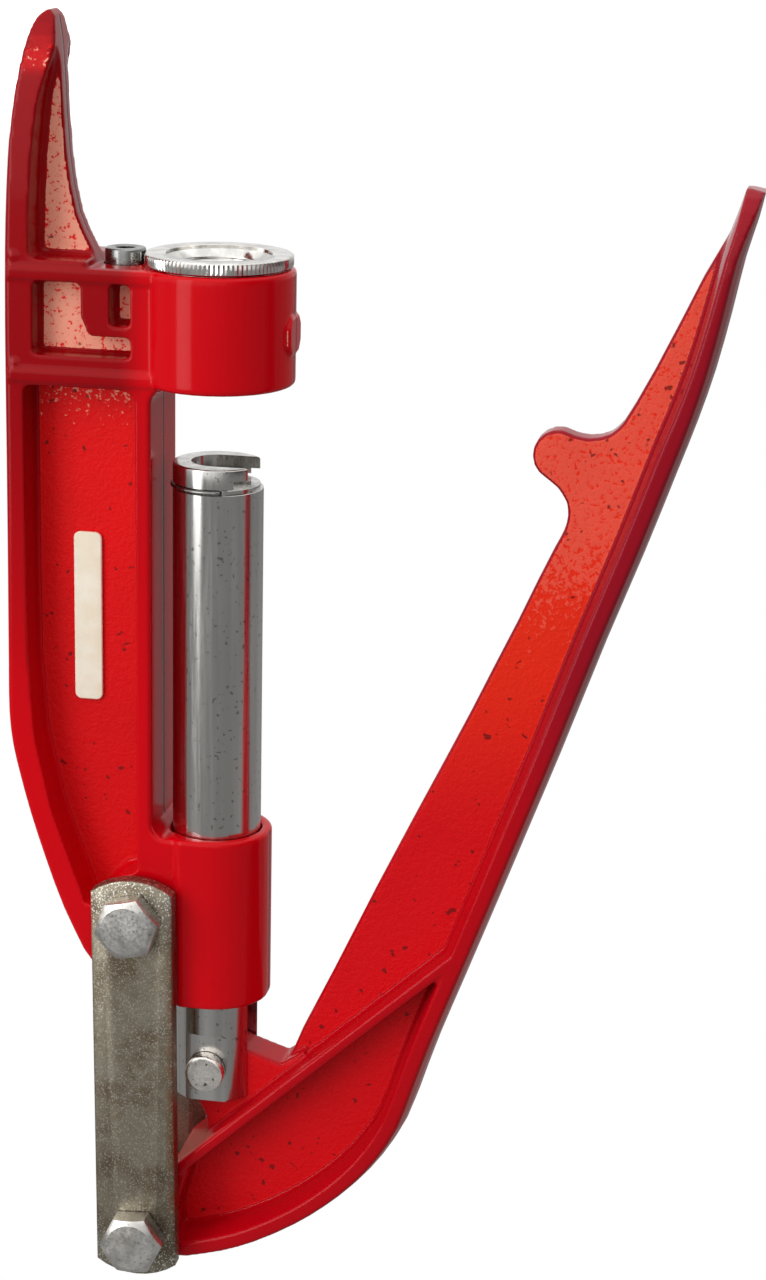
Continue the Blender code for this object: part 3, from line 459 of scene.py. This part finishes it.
# ---------------------------------------------------------------- ram
def ram():
    groove = (clip_low.z + clip_high.z) / 2
    half = (clip_high.z - clip_low.z) / 2 + 0.15 * MM
    deep = 0.75 * MM
    top, bottom, chamfer = ram_high.z, ram_low.z, 0.6 * MM
    rows = [(0, bottom)] + rounded_step(RAM_R, bottom, chamfer, up=-1)[::-1]
    edge = 0.1 * MM
    rows += [(RAM_R, groove - half - edge), (RAM_R - edge, groove - half), (RAM_R - deep, groove - half),
             (RAM_R - deep, groove + half), (RAM_R - edge, groove + half), (RAM_R, groove + half + edge)]
    rows += rounded_step(RAM_R, top, chamfer) + [(0, top)]
    body = lathe("ram_body", rows, (AXIS_X, 0, 0), n=144, smooth_below=30)

    def slot_mouth(half_width, reach):
        arc = [(AXIS_X + half_width * math.cos(a), half_width * math.sin(a))
               for a in (math.radians(90 + 6 * k) for k in range(31))]
        return arc + [(AXIS_X + reach, -half_width), (AXIS_X + reach, half_width)]

    floor = top - 5.3 * MM
    bore_r, bore_depth = 3.6 * MM, 60 * MM
    cutters = [
        prism("neck", slot_mouth(6.6 * MM, 14 * MM), floor, top + 2 * MM),
        prism("undercut", slot_mouth(9.3 * MM, 15 * MM), floor - 0.02 * MM, top - 2.9 * MM),
        lathe("bore", [(0, floor - bore_depth), (bore_r, floor - bore_depth), (bore_r, floor + 1 * MM),
                       (0, floor + 1 * MM)], (AXIS_X, 0, 0), n=64),
    ]
    # forked foot for the lever's tongue, with a milled flat each side round the pin
    pin_z = bottom + 8.7 * MM
    below, reach = bottom - 3 * MM, 14 * MM
    fork_half, fork_top = 5.55 * MM, pin_z + 18.8 * MM
    flat_y, flat_top = 9.7 * MM, pin_z + 9.8 * MM
    fork = [(-fork_half, below), (fork_half, below), (fork_half, fork_top), (-fork_half, fork_top)]
    cutters.append(prism("fork", fork, AXIS_X - reach, AXIS_X + reach, "x"))
    for sign in (-1, 1):
        flat = [(sign * flat_y, below), (sign * reach, below),
                (sign * reach, flat_top), (sign * flat_y, flat_top)]
        cutters.append(prism("flat", flat, AXIS_X - reach, AXIS_X + reach, "x"))
    cutters.append(lathe("pin_hole", [(0, -reach), (3.9 * MM, -reach), (3.9 * MM, reach), (0, reach)],
                         (AXIS_X, 0, pin_z), "y", 64))
    hole = math.radians(-74)
    out = Vector((math.cos(hole), math.sin(hole), 0))
    peg = lathe("clip_hole", [(0, 0), (0.8 * MM, 0), (0.8 * MM, 4 * MM), (0, 4 * MM)], (0, 0, 0), n=24)
    turn = Vector((0, 0, 1)).rotation_difference(out)
    for v in peg.data.vertices:
        v.co = turn @ v.co + Vector((AXIS_X, 0, groove)) + out * (RAM_R - 2.4 * MM)
    cutters.append(peg)
    carve(body, cutters)
    body.data.shade_smooth()
    body.data.set_sharp_from_angle(angle=math.radians(28))
    place(body, "ram", "ram_steel", "bright_steel", "ram")


def clip():
    """Spring wire in the ram's groove, its end bent into a small hole."""
    z = (clip_low.z + clip_high.z) / 2
    wire = (clip_high.z - clip_low.z) / 2
    r = RAM_R - 0.7 * MM + 0.3 * MM + wire - 0.1 * MM
    line = bpy.data.curves.new("clip_wire", "CURVE")
    line.dimensions, line.bevel_depth, line.bevel_resolution, line.use_fill_caps = "3D", wire, 5, True
    start = math.radians(-74)
    points = [((RAM_R - back) * math.cos(start), (RAM_R - back) * math.sin(start))
              for back in (1.9 * MM, 1.0 * MM)]
    points += [(r * math.cos(a), r * math.sin(a)) for a in (math.radians(-77 - 4 * k) for k in range(53))]
    run = line.splines.new("POLY")
    run.points.add(len(points) - 1)
    for p, (x, y) in zip(run.points, points):
        p.co = (AXIS_X + x, y, z, 1)
    obj = bpy.data.objects.new("clip_wire", line)
    bpy.context.scene.collection.objects.link(obj)
    settle_curve(obj, "ram_clip")


def settle_curve(obj, name):
    graph = bpy.context.evaluated_depsgraph_get()
    mesh = bpy.data.meshes.new_from_object(obj.evaluated_get(graph))
    bpy.data.objects.remove(obj)
    made = bpy.data.objects.new(name, mesh)
    bpy.context.scene.collection.objects.link(made)
    mesh.shade_smooth()
    mesh.set_sharp_from_angle(angle=math.radians(50))
    place(made, "ram", "dark_steel", "dark_steel", "shell_holder_clip")


# ---------------------------------------------------------------- bushing and lock pin
def bushing():
    """Knurled rim over a sleeve with a 7/8-14 thread."""
    pitch = 25.4 * MM / 14
    depth = 0.95 * MM
    teeth, per_tooth = 100, 4
    low, high = rim_low.z, rim_high.z
    rim = rim_high.x - AXIS_X
    under = high - 3.0 * MM
    sleeve, mouth, bore = 15.4 * MM, 12.7 * MM, 11.1 * MM
    rows, kinds = [], []

    def row(r, h, kind=""):
        rows.append((r, h))
        kinds.append(kind)

    row(bore, low)
    row(sleeve - 0.5 * MM, low)
    row(sleeve, low + 0.5 * MM)
    row(sleeve, under)
    row(rim - 0.5 * MM, under)
    row(rim - 0.12 * MM, under + 0.25 * MM, "half")
    row(rim, under + 0.5 * MM, "full")
    row(rim, high - 0.55 * MM, "full")
    row(rim - 0.12 * MM, high - 0.3 * MM, "half")
    row(rim - 0.45 * MM, high - 0.05 * MM)
    row(rim - 0.7 * MM, high)
    row(mouth + 0.15 * MM, high)
    row(mouth, high - 0.1 * MM)
    row(mouth - 0.05 * MM, high - 0.9 * MM)
    row(bore + 0.05 * MM, high - 2.6 * MM)
    top, steps = high - 2.7 * MM, 7
    count = int((top - low - 0.6 * MM) / pitch * steps)
    for k in range(count + 1):
        row(bore, top - (top - low - 0.6 * MM) * k / count, "thread")

    def shape(i, a, r):
        kind = kinds[i]
        if kind in ("full", "half"):
            t = (a / math.tau * teeth) % 1.0
            cut = 0.30 * MM if kind == "full" else 0.15 * MM
            return r - cut * abs(2 * t - 1)
        if kind == "thread":
            h = rows[i][1]
            t = (h / pitch - a / math.tau) % 1.0
            fade = min(1.0, (top - h) / pitch, (h - low - 0.5 * MM) / pitch + 0.05)
            return r - depth * max(0.0, fade) * (1 - abs(2 * t - 1)) ** 0.9
        return r

    body = lathe("bushing_body", rows, (AXIS_X, 0, 0), n=teeth * per_tooth, ring_shape=shape, smooth_below=35)
    place(body, "bushing", "nickel", "bright_steel", "breech_bushing")


def lock_pin():
    x = (pin_low.x + pin_high.x) / 2
    head = (pin_high.x - pin_low.x) / 2
    top = pin_high.z
    seat = top - 7.0 * MM
    rows = [(0, pin_low.z), (1.7 * MM, pin_low.z), (2.2 * MM, pin_low.z + 0.5 * MM), (2.2 * MM, seat),
            (head - 0.3 * MM, seat),
            (head, seat + 0.3 * MM)]
    rows += rounded_step(head, top, 0.5 * MM)
    rows += [(2.65 * MM, top), (2.35 * MM, top - 0.25 * MM), (2.35 * MM, top - 3.2 * MM), (0, top - 3.9 * MM)]
    place(lathe("lock_pin_body", rows, (x, 0, 0), n=72), "lock_pin", "dark_steel", "dark_steel", "lock_pin")


# ---------------------------------------------------------------- pins, bolts and links
def ram_pin():
    low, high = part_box("ram_pin")
    x, z = (low.x + high.x) / 2, (low.z + high.z) / 2
    head = (high.z - low.z) / 2
    y = low.y
    shank = 3.6 * MM
    rows = [(0, y + 0.12 * MM), (head * 0.45, y + 0.04 * MM), (head * 0.78, y), (head - 0.5 * MM, y),
            (head - 0.15 * MM, y + 0.15 * MM),
            (head, y + 0.5 * MM), (head, y + 3.2 * MM), (shank, y + 3.2 * MM), (shank, high.y - 0.5 * MM),
            (shank - 0.5 * MM, high.y), (0, high.y)]
    place(lathe("ram_pin_body", rows, (x, 0, z), "y", 72), "ram", "pin_steel", "bright_steel", "ram_pin")


def broken(node, width):
    """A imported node's shape with its sharp edges broken by a small bevel."""
    obj = from_bmesh(node + "_skin", welded(node), 25)
    m = obj.modifiers.new("break_edges", "BEVEL")
    m.width, m.segments, m.limit_method, m.angle_limit = width, 2, "ANGLE", math.radians(25)
    settle(obj)
    obj.data.shade_smooth()
    obj.data.set_sharp_from_angle(angle=math.radians(25))
    return obj


def squeeze(spring):
    """A mesh of its own for the spring, which keeps its imported length."""
    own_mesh(spring)


def fittings():
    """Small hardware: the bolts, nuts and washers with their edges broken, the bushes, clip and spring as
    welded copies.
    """
    for node in ("upper_bolt", "upper_nut", "upper_washer_near", "upper_washer_far", "lower_bolt",
                 "lower_bolt_end", "lower_nut", "lower_washer_near", "lower_washer_far"):
        place(broken(node, 0.12 * MM), "links", "bolt_zinc", "zinc_steel", node)
    dark = {"lever": ["tongue_bush", "lever_sleeve"], "ram": ["ram_pin_clip"], "frame": ["lock_pin_spring"]}
    for body, nodes in dark.items():
        for node in nodes:
            skin = from_bmesh(node + "_skin", welded(node), 45)
            place(skin, body, "dark_steel", "dark_steel", node)
            if node == "lock_pin_spring":
                squeeze(skin)


def links():
    for node in ("near_link", "far_link"):
        skin = from_bmesh(node + "_skin", welded(node), 25)
        place(skin, "links", "link_zinc", "link_steel", node)


# ---------------------------------------------------------------- stage
def stage():
    scene = bpy.context.scene
    bm = bmesh.new()
    bmesh.ops.create_grid(bm, x_segments=1, y_segments=1, size=6.0)
    floor = from_bmesh("floor", bm)
    floor.location.z = cad_low.z - FLOOR_DROP
    look = bpy.data.materials.new("floor_white")
    look.use_nodes = True
    tree = look.node_tree
    tree.nodes.clear()
    seen = tree.nodes.new("ShaderNodeLightPath").outputs["Is Camera Ray"]
    dull = put(tree, "ShaderNodeBsdfDiffuse", Color=(FLOOR_BOUNCE, FLOOR_BOUNCE, FLOOR_BOUNCE, 1)).outputs[0]
    lit = put(tree, "ShaderNodeEmission", Color=(1, 1, 1, 1), Strength=1.0).outputs[0]
    mixed = put(tree, "ShaderNodeMixShader", i0=seen, i1=dull, i2=lit).outputs[0]
    put(tree, "ShaderNodeOutputMaterial", Surface=mixed)
    floor.data.materials.append(look)

    world = bpy.data.worlds.new("studio")
    scene.world = world
    world.use_nodes = True
    tree = world.node_tree
    where = tree.nodes.new("ShaderNodeTexCoord")
    xyz = put(tree, "ShaderNodeSeparateXYZ", Vector=where.outputs["Generated"])
    turn = maths(tree, "ARCTAN2", xyz.outputs[0], maths(tree, "MULTIPLY", xyz.outputs[1], -1.0))
    share = maths(tree, "MULTIPLY_ADD", turn, 1 / math.tau)
    share.node.inputs[2].default_value = 0.5
    ramp = put(tree, "ShaderNodeValToRGB", Fac=share)
    stops = ramp.color_ramp.elements
    while len(stops) < len(ROOM):
        stops.new(0.5)
    for stop, (azimuth, level) in zip(stops, ROOM):
        stop.position = (azimuth + 180) / 360
        stop.color = (level, level, level, 1)
    high = between(tree, xyz.outputs[2], 0.45, 0.8, 0.0, 1.0)
    around = blend(tree, high, ramp.outputs[0], (CEILING, CEILING, CEILING))
    seen = tree.nodes.new("ShaderNodeLightPath").outputs["Is Camera Ray"]
    white = blend(tree, seen, around, (1.0, 1.0, 1.0))
    tree.links.new(white, tree.nodes["Background"].inputs["Color"])
    tree.nodes["Background"].inputs["Strength"].default_value = BACKDROP

    def lamp(name, azimuth, elevation, distance, width, height, watts, colour=(1, 1, 1)):
        a, e = math.radians(azimuth), math.radians(elevation)
        back = Vector((math.sin(a) * math.cos(e), -math.cos(a) * math.cos(e), math.sin(e)))
        light = bpy.data.lights.new(name, "AREA")
        light.shape, light.size, light.size_y = "RECTANGLE", width, height
        light.energy, light.color = watts, colour
        obj = bpy.data.objects.new(name, light)
        obj.location = CAMERA_TO + back * distance
        obj.rotation_euler = (-back).to_track_quat("-Z", "Y").to_euler()
        scene.collection.objects.link(obj)

    lamp("window", -42, 14, 1.1, 0.45, 1.1, 4.8)

    data = bpy.data.cameras.new("camera")
    data.sensor_fit, data.sensor_width, data.lens = "AUTO", 36.0, CAMERA_LENS
    data.clip_start, data.clip_end = 0.01, 20
    camera = bpy.data.objects.new("camera", data)
    camera.location = CAMERA_AT
    camera.rotation_mode = "QUATERNION"
    aim = (CAMERA_TO - CAMERA_AT).to_track_quat("-Z", "Y")
    camera.rotation_quaternion = aim @ Quaternion((0, 0, 1), CAMERA_ROLL)
    scene.collection.objects.link(camera)
    scene.camera = camera
    scene.view_settings.view_transform = "Standard"
    scene.view_settings.look = "None"


stage()
frame_skin()
lever_skin()
badge()
ram()
clip()
bushing()
lock_pin()
ram_pin()
fittings()
links()
